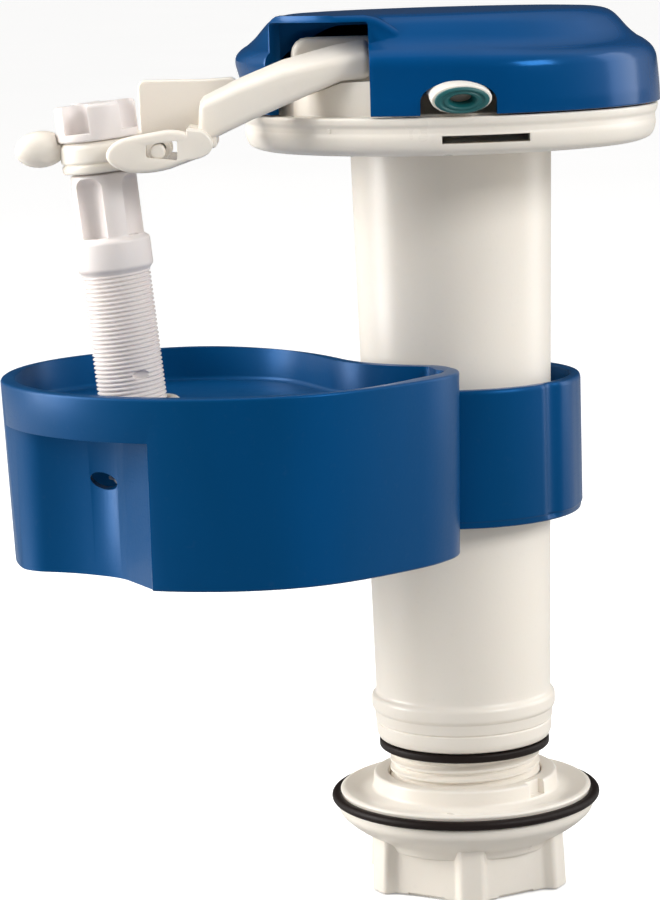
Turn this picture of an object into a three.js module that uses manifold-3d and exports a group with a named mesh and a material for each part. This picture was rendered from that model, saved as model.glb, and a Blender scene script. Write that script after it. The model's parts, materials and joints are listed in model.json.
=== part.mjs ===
// Toilet fill valve: riser tube with threaded shank, valve head with lever, float and adjuster rod.
// Millimetres, +Z up. The origin is on the tube's axis, at the tank floor under the shank seal.
import * as THREE from 'three';
import { mergeVertices } from 'three/addons/utils/BufferGeometryUtils.js';
import Module from 'manifold-3d';

const wasm = await Module();
wasm.setup();

// ---- driving dimensions ----
const GAP = 0.3; // between pieces that touch
const ROUND = 40; // segments round a large turned piece
const SMALL_ROUND = 20; // segments round a small turned piece

const SHANK = { radius: 14.8, bore: 12.4, bottom: -25 };
const SEAL = { inner: 15.1, outer: 16.8, height: 1.6 };
const SKIRT = { radius: 17.6, bottom: 1.9, top: 7.8 };
const BEAD = { radius: 18.1, height: 3.2 };
const RISER = { bottomRadius: 17.2, topRadius: 19.4, wall: 1.9, top: 121.5 };
const SUPPLY = { radius: 6, bore: 4.6, top: 124.6 };
const SEAT = { outer: 7.4, lip: 5.4, top: 127.4 };

const NUT = { top: -5.2, bottom: -27, collar: 18.1, flange: 25.4, flangeTop: -8.2, hexCorner: 20.6 };
const NUT_RING = { radius: 25.6, section: 0.95, height: -9.9 };

const HEAD = { bottom: 118.6, lip: 39.6, ledge: 125.8, ledgeRadius: 40, wallTop: 133.2, wallRadius: 36.2 };
const TURRET = { radius: 22.4, top: 129.3, well: 18.3, wellFloor: 127.5, passage: 13 };
const CAP = { radius: 40.3, bottom: 126.1, shoulder: 135.6, top: 144.4, plateau: 29.5, wall: 2.1 };
const MOUTH = { left: -32, right: -15.8, back: -17, top: 142.2 };
const HOOD = { left: -34, right: -10.4, front: -33.6, back: -15.5, bottom: 135.2, top: 144.1, radius: 39.8 };
const HOOD_ROOM = { right: -12.4, front: -34.2 }; // the space beside the mouth, behind the wall
const WINDOW = { halfWidth: 6.9, springing: 128.6, rise: 3.6 };
const PORT = { halfWidth: 5.2, halfHeight: 2.5, length: 7.5, tilt: 20, yaw: 8, face: [0.6, -41.6, 128.7] };
const SIDE_SLOT = { left: -3.1, right: 12.9, bottom: 120.9, top: 122.4 };

const PIVOT = { x: -12, z: 134.6, pinRadius: 1.4, earFront: -31.2, earBack: -21.6, earThickness: 2 };
const STOP_LUG = { left: -30, right: -14.5, front: -22.4, back: -18.4, top: 140.3, corner: 3 };
const PILOT = { nozzleTop: 133.9, plateTop: 133.1, sealBottom: 136.6, padBottom: 136.9, armTop: 139.5 };
const YOKE = { front: -37.2, back: -14.8, prong: 3, web: -49.2 };
const PIN = { x: -54.5, z: 121, radius: 1 };

const ROD = { x: -65.7, y: -26, z: 121.5, lean: 5.2, threadRadius: 6.4, neckRadius: 4.8, cross: 17 };
const KNOB = { radius: 7.5, bottom: 1.8, top: 8.2, notchFloor: 3.2, notchHalf: 2.1 };
const FLUTE = { shaft: 6.1, radius: 2.7, bottom: -15.5, top: -5.6, centre: 6.4 };
const FLOAT = { rim: 79, bottom: 44.3, deck: 72.6, deckThickness: 2, wall: 2.2, draft: 0.05 };
const SLEEVE = { inner: 22, outer: 24.2, bottom: 47.4, top: 73.8 };

const COLOURS = {
  ivory: [0xe9e4d8, 0.35],
  white: [0xece6e6, 0.42],
  blueGloss: [0x0f5593, 0.22],
  blueSatin: [0x1c63a4, 0.4],
  teal: [0x157a78, 0.5],
  black: [0x1c1412, 0.6],
  grey: [0x8c8f90, 0.5],
  steel: [0xb8bbbd, 0.3],
};

// ---- solids ----

/** Merges a geometry's vertices, drops empty faces and turns the faces outwards. */
function closed(geometry) {
  geometry.deleteAttribute('normal');
  geometry.deleteAttribute('uv');
  const merged = mergeVertices(geometry, 1e-4);
  const at = (i) => new THREE.Vector3().fromBufferAttribute(merged.attributes.position, i);
  const faces = [];
  let volume = 0;
  for (let i = 0; i < merged.index.count; i += 3) {
    const [a, b, c] = merged.index.array.slice(i, i + 3);
    if (a !== b && b !== c && c !== a) {
      faces.push([a, b, c]);
      volume += at(a).dot(at(b).cross(at(c)));
    }
  }
  const turned = volume < 0 ? faces.map(([a, b, c]) => [a, c, b]) : faces;
  merged.setIndex(turned.flat());
  return merged;
}

function toManifold(geometry) {
  const body = closed(geometry);
  const vertProperties = new Float32Array(body.attributes.position.array);
  const triVerts = new Uint32Array(body.index.array);
  return new wasm.Manifold(new wasm.Mesh({ numProp: 3, vertProperties, triVerts }));
}

function toGeometry(solid) {
  const { vertProperties, triVerts } = solid.getMesh();
  const geometry = new THREE.BufferGeometry();
  geometry.setAttribute('position', new THREE.BufferAttribute(new Float32Array(vertProperties), 3));
  geometry.setIndex(new THREE.BufferAttribute(new Uint32Array(triVerts), 1));
  return geometry;
}

const join = (...parts) => parts.map(toManifold).reduce((a, b) => a.add(b));
const cut = (solid, ...tools) => tools.map(toManifold).reduce((a, b) => a.subtract(b), solid);

/** A profile of [radius, height] points, turned about Z. It ends on the axis or is closed here. */
function turned(profile, segments = ROUND) {
  const onAxis = profile[0][0] === 0 && profile.at(-1)[0] === 0;
  const ring = onAxis ? profile : [...profile, profile[0]];
  const points = ring.map(([radius, height]) => new THREE.Vector2(radius, height));
  return new THREE.LatheGeometry(points, segments).rotateX(Math.PI / 2);
}

/** A plain pipe about Z. */
const pipe = (inner, outer, bottom, top, segments) =>
  turned([[outer, bottom], [outer, top], [inner, top], [inner, bottom]], segments);

const rod = (radius, bottom, top, segments = SMALL_ROUND) =>
  turned([[0, bottom], [radius, bottom], [radius, top], [0, top]], segments);

/** A plan outline from bottom to top. */
function slab(shape, bottom, top, curveSegments = 8) {
  const options = { depth: top - bottom, bevelEnabled: false, curveSegments };
  return new THREE.ExtrudeGeometry(shape, options).translate(0, 0, bottom);
}

/** A side outline in X and Z, from front to back along Y. */
function sideSlab(shape, front, back, curveSegments = 6) {
  return slab(shape, 0, back - front, curveSegments).rotateX(Math.PI / 2).translate(0, back, 0);
}

const box = (low, high) =>
  new THREE.BoxGeometry(high[0] - low[0], high[1] - low[1], high[2] - low[2])
    .translate((low[0] + high[0]) / 2, (low[1] + high[1]) / 2, (low[2] + high[2]) / 2);

const outline = (points) => new THREE.Shape(points.map(([x, y]) => new THREE.Vector2(x, y)));

/** A pin along Y. */
const crossPin = (radius, x, z, front, back, segments = SMALL_ROUND) =>
  new THREE.CylinderGeometry(radius, radius, back - front, segments).translate(x, (front + back) / 2, z);

/** An oval standing about Z, from bottom to top. */
const ovalPost = (halfWidth, halfDepth, bottom, top, segments = 24) =>
  rod(1, bottom, top, segments).scale(halfWidth, halfDepth, 1);

// ---- assembly ----
const valve = new THREE.Group();
const leaning = new THREE.Group(); // the adjuster rod's own frame: its axis is Z, its collar is at 0
leaning.position.set(ROD.x, ROD.y, ROD.z);
leaning.rotation.y = -THREE.MathUtils.degToRad(ROD.lean);
valve.add(leaning);

function place(name, geometry, [color, roughness], metalness = 0, group = valve) {
  const material = new THREE.MeshStandardMaterial({ color, roughness, metalness });
  const mesh = new THREE.Mesh(closed(geometry), material);
  mesh.name = name;
  group.add(mesh);
}

// ---- tube, shank and what is inside them ----

function riserTube() {
  const beadTop = SKIRT.top + BEAD.height;
  return turned([
    [SHANK.radius, SHANK.bottom],
    [SHANK.radius, SKIRT.bottom],
    [SKIRT.radius - 1, SKIRT.bottom],
    [SKIRT.radius - 0.2, SKIRT.bottom + 1.3],
    [SKIRT.radius, SKIRT.top],
    [BEAD.radius, SKIRT.top + 0.5],
    [BEAD.radius, beadTop - 0.6],
    [RISER.bottomRadius, beadTop + 0.6],
    [RISER.topRadius, RISER.top],
    [RISER.topRadius - RISER.wall, RISER.top],
    [RISER.bottomRadius - RISER.wall, beadTop],
    [SHANK.bore, SKIRT.bottom],
    [SHANK.bore, SHANK.bottom],
  ]);
}

const seatRing = () => turned([
  [SUPPLY.bore, SUPPLY.top + GAP], [SEAT.outer, SUPPLY.top + GAP], [SEAT.outer, SEAT.top - 1],
  [SEAT.lip + 0.6, SEAT.top], [SEAT.lip - 0.2, SEAT.top], [SUPPLY.bore, SEAT.top - 1],
], 24);

/** A basket filter: a tapered cup, open at the bottom, with slots in its wall. */
function inletStrainer() {
  const cup = toManifold(turned([
    [0, -4.4], [7.2, -4.4], [8.6, -19.4], [12, -20], [12, -21.5], [7.4, -21.5], [6.2, -5.6], [0, -5.6],
  ], 24));
  const slots = [0, 45, 90, 135].map((turn) =>
    box([-13, -0.9, -17], [13, 0.9, -8]).rotateZ(THREE.MathUtils.degToRad(turn)));
  return toGeometry(cut(cup, ...slots));
}

// ---- flanged nut ----

function flangeNut() {
  const flange = turned([
    [SHANK.radius + GAP, NUT.top], [NUT.collar - 0.8, NUT.top], [NUT.collar, NUT.top - 0.8],
    [NUT.collar + 0.6, NUT.flangeTop + 0.5], [NUT.collar + 2, NUT.flangeTop],
    [NUT.flange - 0.9, NUT.flangeTop], [NUT.flange - 0.9, NUT_RING.height - 1.2], [NUT.flange, NUT_RING.height - 1.2],
    [NUT.flange - 0.6, NUT_RING.height - 3.6], [NUT.flange - 3.2, NUT_RING.height - 5.6],
    [18.6, NUT_RING.height - 7.6], [SHANK.radius + GAP, NUT_RING.height - 7.6],
  ]);
  const corners = Array.from({ length: 6 }, (_, i) => Math.PI / 6 + i * Math.PI / 3);
  const hexagon = outline(corners.map((a) => [NUT.hexCorner * Math.cos(a), NUT.hexCorner * Math.sin(a)]));
  const hex = slab(hexagon, NUT.bottom, NUT.flangeTop - 4);
  const bore = rod(SHANK.radius + GAP, NUT.bottom - 1, NUT.top + 1, ROUND);
  return toGeometry(cut(join(flange, hex), bore));
}

const nutRing = () =>
  new THREE.TorusGeometry(NUT_RING.radius, NUT_RING.section, 6, ROUND).translate(0, 0, NUT_RING.height);

// ---- valve head ----

/** The round-ended lug behind the lever. */
function stopLug() {
  const { left, right, front, back, top, corner } = STOP_LUG;
  const shape = new THREE.Shape();
  shape.moveTo(right, HEAD.ledge);
  shape.lineTo(right, top);
  shape.lineTo(left + corner, top);
  shape.absarc(left + corner, top - corner, corner, Math.PI / 2, Math.PI, false);
  shape.lineTo(left, HEAD.ledge);
  return sideSlab(shape, front, back);
}

function headBase() {
  const tray = turned([
    [RISER.topRadius + GAP, HEAD.bottom], [HEAD.lip - 3, HEAD.bottom], [HEAD.lip - 1, HEAD.bottom + 0.4],
    [HEAD.lip, HEAD.bottom + 1.6], [HEAD.lip, 122.4], [HEAD.lip - 0.7, 122.8], [HEAD.lip - 0.7, 124.2],
    [HEAD.ledgeRadius, 124.6], [HEAD.ledgeRadius, HEAD.ledge], [HEAD.wallRadius, HEAD.ledge],
    [HEAD.wallRadius, HEAD.wallTop], [HEAD.wallRadius - 1.6, HEAD.wallTop], [HEAD.wallRadius - 1.6, 120.7],
    [TURRET.radius, 120.7], [TURRET.radius, TURRET.top], [TURRET.well, TURRET.top],
    [TURRET.well, TURRET.wellFloor], [TURRET.passage, TURRET.wellFloor], [TURRET.passage, RISER.top + 0.7],
    [RISER.topRadius + GAP, RISER.top + 0.7],
  ]);
  const ear = (front) => sideSlab(outline([
    [PIVOT.x - 2.7, 120], [PIVOT.x + 4, 120], [PIVOT.x + 2.6, PIVOT.z + 1.4], [PIVOT.x + 1.4, PIVOT.z + 2.6],
    [PIVOT.x - 1.4, PIVOT.z + 2.6], [PIVOT.x - 2.7, PIVOT.z + 1.4],
  ]), front, front + PIVOT.earThickness);
  const solid = join(tray, ear(PIVOT.earFront), ear(PIVOT.earBack - PIVOT.earThickness), stopLug());
  const pinHole = crossPin(PIVOT.pinRadius + GAP, PIVOT.x, PIVOT.z, -40, -20);
  const slot = box([SIDE_SLOT.left, -45, SIDE_SLOT.bottom], [SIDE_SLOT.right, -30, SIDE_SLOT.top]);
  const portNotch = box([-7.2, -37.5, 126.4], [8.4, -33, HEAD.wallTop + 1]);
  const leverNotch = sideSlab(outline([
    [-44, 121.9], [-37.7, 125], [-28.5, 128.7], [-22.4, 131.2], [-20.8, 131.8], [-14.8, 132], [-14.8, 141],
    [-44, 141],
  ]), -34.5, -24.4);
  return toGeometry(cut(solid, pinHole, slot, portNotch, leverNotch));
}

const valvePlate = () => turned([
  [0.6, PILOT.plateTop], [0.6, PILOT.nozzleTop], [1.8, PILOT.nozzleTop], [2.6, PILOT.plateTop],
  [16, PILOT.plateTop], [TURRET.radius - 0.6, 132.3], [TURRET.radius, 131.4],
  [TURRET.radius, TURRET.top + GAP], [16.6, TURRET.top + GAP], [16, 131.8], [0.6, 131.8],
], 24);

const diaphragm = () => turned([
  [2.9, 127.8], [9.5, 127.8], [11.5, 128.5], [13.5, 127.8], [17.9, 127.8], [17.9, 128.4],
  [13.6, 128.6], [11.5, 129.4], [9.4, 128.9], [2.9, 128.9],
], 24);

const diaphragmGuide = () => turned([
  [0, 121.5], [2.4, 121.5], [2.4, 129.2], [7.5, 129.2], [7.5, 130], [0, 130],
], 24);

/** Tilts and turns a solid made about Z so that it points out of the window, its end at the port's face. */
function atPort(geometry) {
  const { tilt, yaw, face } = PORT;
  geometry.rotateX(THREE.MathUtils.degToRad(90 + tilt)).rotateZ(THREE.MathUtils.degToRad(yaw));
  return geometry.translate(...face);
}

/** The cap's arched window as a solid through the wall, its outline moved inwards by the given step. */
function windowSolid(step, bottom) {
  const { halfWidth, springing, rise } = WINDOW;
  const arch = new THREE.Shape();
  arch.moveTo(step - halfWidth, bottom);
  arch.lineTo(halfWidth - step, bottom);
  arch.lineTo(halfWidth - step, springing);
  arch.absellipse(0, springing, halfWidth - step, rise - step, 0, Math.PI, false);
  return sideSlab(arch, -60, -30);
}

function refillPort() {
  const boss = atPort(ovalPost(PORT.halfWidth, PORT.halfHeight, -PORT.length, -0.6));
  const recess = atPort(ovalPost(PORT.halfWidth - 0.7, PORT.halfHeight - 0.5, -2.4, 1));
  const bore = atPort(ovalPost(2, 0.9, -PORT.length - 1, 1));
  const bracket = box([-3.4, -37, 126.7], [4, -34.4, 130.4]);
  const fitted = join(boss, bracket).intersect(toManifold(windowSolid(GAP, CAP.bottom + GAP)));
  return toGeometry(cut(fitted, recess, bore));
}

function refillSeal() {
  const ring = toManifold(atPort(ovalPost(PORT.halfWidth - 1, PORT.halfHeight - 0.8, -2.1, 0)));
  const hole = atPort(ovalPost(2, 0.8, -4, 1));
  return toGeometry(cut(ring, hole));
}

// ---- cap ----

function capShell() {
  const { radius, bottom, shoulder, top, plateau, wall } = CAP;
  const outside = [
    [radius, bottom], [radius - 0.3, 131], [radius - 0.8, shoulder], [radius - 2.2, shoulder + 1.6],
    [plateau + 6, 139.2], [plateau + 3, 141.6], [plateau + 0.8, 143.6], [plateau - 2, top], [0, top],
  ];
  const inside = [
    [0, top - wall], [plateau - 2, top - wall], [plateau + 1.2, 140.6], [plateau + 4.6, 138.4],
    [radius - wall - 1, shoulder - 0.4], [radius - wall, 131], [radius - wall, bottom],
  ];
  const dome = turned([...inside, ...outside]);
  const hollow = turned([[0, bottom - 1], ...inside.toReversed().slice(0, -1), [0, top - wall]]);
  const block = toManifold(box([HOOD.left, HOOD.front, HOOD.bottom], [HOOD.right, HOOD.back, HOOD.top]));
  const hood = cut(block.intersect(toManifold(rod(HOOD.radius, 130, 150, ROUND * 2))), hollow);
  const mouth = box([MOUTH.left, -60, bottom - 1], [MOUTH.right, MOUTH.back, MOUTH.top]);
  const room = box([MOUTH.right - 1, HOOD_ROOM.front, bottom - 1], [HOOD_ROOM.right, MOUTH.back, MOUTH.top]);
  return toGeometry(cut(toManifold(dome).add(hood), mouth, room, windowSolid(0, bottom - 1)));
}

// ---- lever ----

/** The arm from the pivot down to the yoke, with the pilot arm that reaches in over the valve plate. */
function floatLever() {
  const blank = sideSlab(outline([
    [-15.6, 132.7], [-20.8, 132.5], [-22.4, 131.9], [-28.5, 129.4], [-37.7, 125.7], [-44.6, 122.6],
    [-47.5, 121.2], [-46.9, 130.2], [-40, 133.5], [-31.6, 136.8], [-22, 139.3], [-15.6, 140.3],
  ]), -31.6, -25.2);
  const slope = new THREE.Vector3(0.1, 0.58, -1).normalize(); // the arm's top leans towards the front
  const onSlope = new THREE.Vector3(-22.3, -31.6, 136.3);
  const arm = toManifold(blank).trimByPlane(slope.toArray(), slope.dot(onSlope));
  const hub = crossPin(3.6, PIVOT.x, PIVOT.z, -28.9, -23.9, 16);
  const neck = box([-17, -28.9, 133.6], [-12, -23.9, 138.2]);
  const inward = box([-12, -28.9, 136], [2.6, -23.9, 138.2]);
  const pilotArm = box([-4.6, -28.9, 137.2], [2.6, 3.2, PILOT.armTop]);
  const pad = rod(3.4, PILOT.padBottom, PILOT.armTop);
  const web = sideSlab(outline([
    [YOKE.web, 119.2], [-46.5, 119.6], [-44.7, 120.7], [-44.5, 122.6], [-46, 124.4], [YOKE.web, 124.8],
  ]), YOKE.front, YOKE.back);
  const prong = (front) => {
    const shape = new THREE.Shape();
    shape.moveTo(-46.1, 119.9);
    shape.lineTo(-46.1, 121.6);
    shape.quadraticCurveTo(-48.2, 125, -53, 124.8);
    shape.lineTo(-59.4, 123.8);
    shape.bezierCurveTo(-63.4, 123.2, -64.8, 120.6, -63.3, 119.1);
    shape.bezierCurveTo(-61.6, 117.2, -57.4, 116.5, -52.3, 117.8);
    return sideSlab(shape, front, front + YOKE.prong, 8);
  };
  const wing = sideSlab(outline([
    [-58.6, 122.6], [-58.8, 133.2], [-46, 133], [-40.6, 133.3], [-40, 131], [-46, 122.6],
  ]), YOKE.back - YOKE.prong, YOKE.back);
  const brace = box([-46.5, -31.6, 121], [-44, YOKE.back, 127.4]);
  const solid = join(hub, neck, inward, pilotArm, pad, web, prong(YOKE.front), prong(YOKE.back - YOKE.prong),
    wing, brace).add(arm);
  const slot = sideSlab(outline([
    [-56.6, 120], [-51.4, 119.2], [-51.2, 122.9], [-56.6, 122.3],
  ]), YOKE.front - 1, YOKE.back + 1);
  const pocket = rod(2.6, PILOT.padBottom - 1, PILOT.sealBottom + 1.8);
  const pinHole = crossPin(PIVOT.pinRadius + GAP, PIVOT.x, PIVOT.z, -40, -20);
  const crotch = box([-53, YOKE.front + YOKE.prong, 116], [YOKE.web, YOKE.back - YOKE.prong, 129]);
  return toGeometry(cut(solid, slot, pocket, pinHole, crotch));
}

// ---- adjuster rod and its collar, in the rod's own frame ----

function rodCollar() {
  const ring = turned([
    [ROD.neckRadius + GAP, -4.3], [7.1, -4.3], [7.3, -3.9], [7.3, -2.9], [6.9, -2.6], [7.4, -2.2],
    [7.4, 0.6], [6.6, 1.5], [ROD.neckRadius + GAP, 1.5],
  ], 32);
  const ear = new THREE.SphereGeometry(1, 14, 8).scale(4.85, 3.4, 3.4).translate(-10.8, 0, 0.9);
  const offset = new THREE.Vector3(PIN.x - ROD.x, 0, PIN.z - ROD.z);
  offset.applyAxisAngle(new THREE.Vector3(0, 1, 0), THREE.MathUtils.degToRad(ROD.lean));
  const neck = box([5, -3.6, offset.z - 2.2], [offset.x, 3.6, offset.z + 2.2]);
  const knuckle = crossPin(2.2, offset.x, offset.z, -3.6, 3.6, 16);
  const bore = rod(ROD.neckRadius + GAP, -6, 4, 32);
  const knobRoom = rod(KNOB.radius + 0.4, KNOB.bottom - GAP, 6, 32);
  const pinHole = crossPin(PIN.radius + GAP, offset.x, offset.z, -6, 6);
  return toGeometry(cut(join(ring, ear, neck, knuckle), bore, knobRoom, pinHole));
}

/** Cross knob, smooth neck, fluted shaft, plain band, threaded length with a rounded tip. */
function adjusterRod() {
  const shaft = turned([
    [0, -63], [4.6, -63], [ROD.threadRadius - 0.4, -61.6], [ROD.threadRadius, -61],
    [ROD.threadRadius + 0.2, -22.8], [7.1, -22.6], [7.1, -17.2], [FLUTE.shaft, -16.6], [FLUTE.shaft, -4.6],
    [ROD.neckRadius, -4.6], [ROD.neckRadius, KNOB.bottom], [KNOB.radius, KNOB.bottom],
    [KNOB.radius, KNOB.top - 0.4], [KNOB.radius - 0.4, KNOB.top], [0, KNOB.top],
  ], 32);
  const quarters = [45, 135, 225, 315].map((angle) => THREE.MathUtils.degToRad(angle + ROD.cross));
  const flutes = quarters.map((angle) => rod(FLUTE.radius, FLUTE.bottom, FLUTE.top, 12)
    .translate(FLUTE.centre * Math.cos(angle), FLUTE.centre * Math.sin(angle), 0));
  const notches = quarters.map((angle) =>
    box([3.4, -KNOB.notchHalf, KNOB.notchFloor], [10, KNOB.notchHalf, KNOB.top + 1]).rotateZ(angle));
  return toGeometry(cut(toManifold(shaft), ...flutes, ...notches));
}

// ---- float ----

/** Plan of the float at its rim, grown or shrunk by the given step. It wraps the sleeve on one side. */
function floatPlan(step = 0) {
  const wrap = SLEEVE.outer + GAP - step;
  const arcPoint = (degrees, radius) => {
    const angle = THREE.MathUtils.degToRad(degrees);
    return [radius * Math.cos(angle), radius * Math.sin(angle)];
  };
  const shape = new THREE.Shape();
  const [noseX, noseY] = arcPoint(-99, wrap + 3.4);
  const [x1, y1] = arcPoint(-106, wrap);
  const [x2, y2] = arcPoint(-154, wrap);
  shape.moveTo(x2, y2);
  shape.bezierCurveTo(x2 - 4.5, y2 + 9.5, -33.5 - step, 8 + step, -43 - step * 0.5, 12.8 + step);
  shape.bezierCurveTo(-51, 17.2 + step, -60, 14.8 + step, -68.5 - step * 0.3, 9.6 + step);
  shape.bezierCurveTo(-81, 2.4 + step * 0.8, -86.2 - step, -9.5, -86.2 - step, -22.5);
  shape.bezierCurveTo(-86.2 - step, -43, -66 - step * 0.5, -61.6 - step, -41.5, -61.6 - step);
  shape.bezierCurveTo(-27, -61.6 - step, -18, -55, -8 + step * 0.6, -45.6 - step);
  shape.bezierCurveTo(-2.4 + step, -40.4 - step, 1.2 + step, -33.8, noseX + 2.6 + step, noseY - 1.2);
  shape.bezierCurveTo(noseX + 1.6 + step, noseY + 2.2, x1 + 2, y1 - 0.6, x1, y1);
  shape.absarc(0, 0, wrap, THREE.MathUtils.degToRad(-106), THREE.MathUtils.degToRad(-154), true);
  return shape;
}

/** Leans a wall inwards below the rim, about the float's middle. */
function drafted(geometry) {
  const spots = geometry.attributes.position;
  for (let i = 0; i < spots.count; i++) {
    const below = (FLOAT.rim - spots.getZ(i)) * FLOAT.draft;
    const wraps = Math.hypot(spots.getX(i), spots.getY(i)) < 30;
    const pull = wraps ? 0 : below;
    spots.setX(i, spots.getX(i) + pull * Math.sign(-44 - spots.getX(i)) * 0.8);
    spots.setY(i, spots.getY(i) + pull * Math.sign(-24 - spots.getY(i)) * 0.3);
  }
  return geometry;
}

/** The scooped front-left corner, grown inwards by the given wall. */
function scoop(wall, top) {
  const shape = new THREE.Shape();
  shape.moveTo(-57.2 + wall, -75);
  shape.lineTo(-57.2 + wall, -57.5 + wall);
  shape.lineTo(-62 + wall, -45.5 + wall);
  shape.quadraticCurveTo(-72 + wall, -43 + wall, -81.4 + wall * 0.5, -30 + wall);
  shape.lineTo(-95, -26 + wall);
  shape.lineTo(-95, -75);
  return slab(shape, 30, top, 8);
}

const rodFrame = (geometry) =>
  geometry.rotateY(-THREE.MathUtils.degToRad(ROD.lean)).translate(ROD.x, ROD.y, ROD.z);

function floatCup() {
  const block = toManifold(drafted(slab(floatPlan(), FLOAT.bottom, FLOAT.rim, 10)));
  const shell = block.subtract(toManifold(scoop(0, 72.5)));
  const tray = drafted(slab(floatPlan(-FLOAT.wall), FLOAT.deck, FLOAT.rim + 1, 10));
  const under = toManifold(drafted(slab(floatPlan(-FLOAT.wall), 40, FLOAT.deck - FLOAT.deckThickness, 10)))
    .subtract(toManifold(scoop(FLOAT.wall, 80)));
  const nutHole = rodFrame(rod(8.9 + GAP, -60, -40, 24));
  const drain = ovalPost(2.7, 1.55, 30, 60).rotateX(Math.PI / 2).translate(-66.2, 0, 63.4);
  return toGeometry(cut(shell, tray, nutHole, drain).subtract(under));
}

const guideSleeve = () => turned([
  [SLEEVE.inner, SLEEVE.bottom], [SLEEVE.outer - 0.2, SLEEVE.bottom], [SLEEVE.outer, SLEEVE.bottom + 0.4],
  [SLEEVE.outer, SLEEVE.top - 0.4], [SLEEVE.outer - 0.4, SLEEVE.top], [SLEEVE.inner, SLEEVE.top],
]);

/** The nut set in the float's deck, in the rod's own frame. */
const rodNut = () => turned([
  [ROD.threadRadius + 0.5, -53], [8.9, -53], [8.9, -45.6], [7.9, -44.8], [ROD.threadRadius + 0.5, -44.8],
], 24);

// ---- the valve, piece by piece ----
const { ivory, white, blueGloss, blueSatin, teal, black, grey, steel } = COLOURS;

place('riser_tube', riserTube(), ivory);
place('shank_seal', pipe(SEAL.inner, SEAL.outer, 0, SEAL.height), black);
place('supply_pipe', pipe(SUPPLY.bore, SUPPLY.radius, 2, SUPPLY.top, 24), grey);
place('seat_ring', seatRing(), grey);
place('flow_restrictor', pipe(4.9, 12, -3.4, -1.2, 24), teal);
place('inlet_strainer', inletStrainer(), grey);
place('flange_nut', flangeNut(), ivory);
place('nut_o_ring', nutRing(), black);

place('head_base', headBase(), ivory);
place('head_seal', pipe(14, 17.2, RISER.top - 2.2, RISER.top + 0.3, 32), black);
place('valve_plate', valvePlate(), grey);
place('diaphragm', diaphragm(), black);
place('diaphragm_guide', diaphragmGuide(), white);
place('refill_port', refillPort(), ivory);
place('refill_seal', refillSeal(), teal);
place('cap', capShell(), blueGloss);

place('lever_pin', crossPin(PIVOT.pinRadius, PIVOT.x, PIVOT.z, PIVOT.earFront, PIVOT.earBack), steel, 1);
place('float_lever', floatLever(), ivory);
place('pilot_seal', rod(2.3, PILOT.sealBottom, PILOT.sealBottom + 1.5), black);

place('collar_pin', crossPin(PIN.radius, PIN.x, PIN.z, YOKE.front + 0.2, YOKE.back - 0.2), ivory);
place('rod_collar', rodCollar(), ivory, 0, leaning);
place('adjuster_rod', adjusterRod(), white, 0, leaning);
place('rod_nut', rodNut(), ivory, 0, leaning);

place('float_cup', floatCup(), blueSatin);
place('guide_sleeve', guideSleeve(), blueSatin);

export default valve;
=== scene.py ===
"""Toilet fill valve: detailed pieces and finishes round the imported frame, laid out as an add-on."""
import json
import math

import bmesh
import bpy
from mathutils import Matrix, Vector, geometry


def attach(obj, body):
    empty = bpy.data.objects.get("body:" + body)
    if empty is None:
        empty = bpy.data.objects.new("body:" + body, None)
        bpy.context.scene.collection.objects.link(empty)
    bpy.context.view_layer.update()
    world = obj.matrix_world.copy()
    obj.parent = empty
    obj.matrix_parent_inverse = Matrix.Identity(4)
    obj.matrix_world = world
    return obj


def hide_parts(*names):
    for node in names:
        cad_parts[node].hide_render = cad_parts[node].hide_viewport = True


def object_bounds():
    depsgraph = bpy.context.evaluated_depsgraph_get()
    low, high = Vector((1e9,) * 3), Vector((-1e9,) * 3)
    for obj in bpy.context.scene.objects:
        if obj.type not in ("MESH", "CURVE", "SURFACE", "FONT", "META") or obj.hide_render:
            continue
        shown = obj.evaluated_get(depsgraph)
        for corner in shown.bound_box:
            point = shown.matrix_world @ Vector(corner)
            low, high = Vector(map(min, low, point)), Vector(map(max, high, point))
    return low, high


bl_info = {
    "name": "Fill Valve Builder",
    "version": (1, 0, 0),
    "blender": (4, 5, 0),
    "location": "View3D > Sidebar > Fill Valve",
    "description": "Builds the looks of a toilet fill valve round its packed frame",
    "category": "Object",
}

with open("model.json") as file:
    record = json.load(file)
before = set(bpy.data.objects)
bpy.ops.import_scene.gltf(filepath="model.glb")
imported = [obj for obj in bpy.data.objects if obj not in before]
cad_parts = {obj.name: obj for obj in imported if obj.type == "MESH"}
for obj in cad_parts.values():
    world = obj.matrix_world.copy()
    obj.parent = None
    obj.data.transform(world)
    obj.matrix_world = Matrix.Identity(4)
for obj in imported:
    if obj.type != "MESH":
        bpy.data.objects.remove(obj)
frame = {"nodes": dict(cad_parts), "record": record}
CAD_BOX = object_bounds()

MM = 0.001
ARC = 4  # segments in a rounded corner
FINE = 144  # steps round a wide turned piece
SMALL = 64  # steps round a narrow turned piece
MERGE = 0.004  # mm
LEAN = math.radians(5.2)  # the adjuster rod's lean
BLUE_GLINT = (0.05, 0.35, 1.0, 1)  # tint of the blue mouldings' head-on reflections
ROD_BASE = Vector((-65.7, -26.0, 121.5))  # the adjuster rod's own origin, in its collar
CROSS = 17  # degrees, the turn of the rod's knob and flutes
HEX_SIDES = 6
LIGHTS_AIM = Vector((-0.03, -0.02, 0.08))  # metres, the valve's middle


# ---- sizes, colours and stage ----

def colour_property(name, description, default):
    """A colour that the panel shows."""
    return bpy.props.FloatVectorProperty(
        name=name, description=description, default=default, subtype="COLOR", size=3, min=0, max=1
    )


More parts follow.
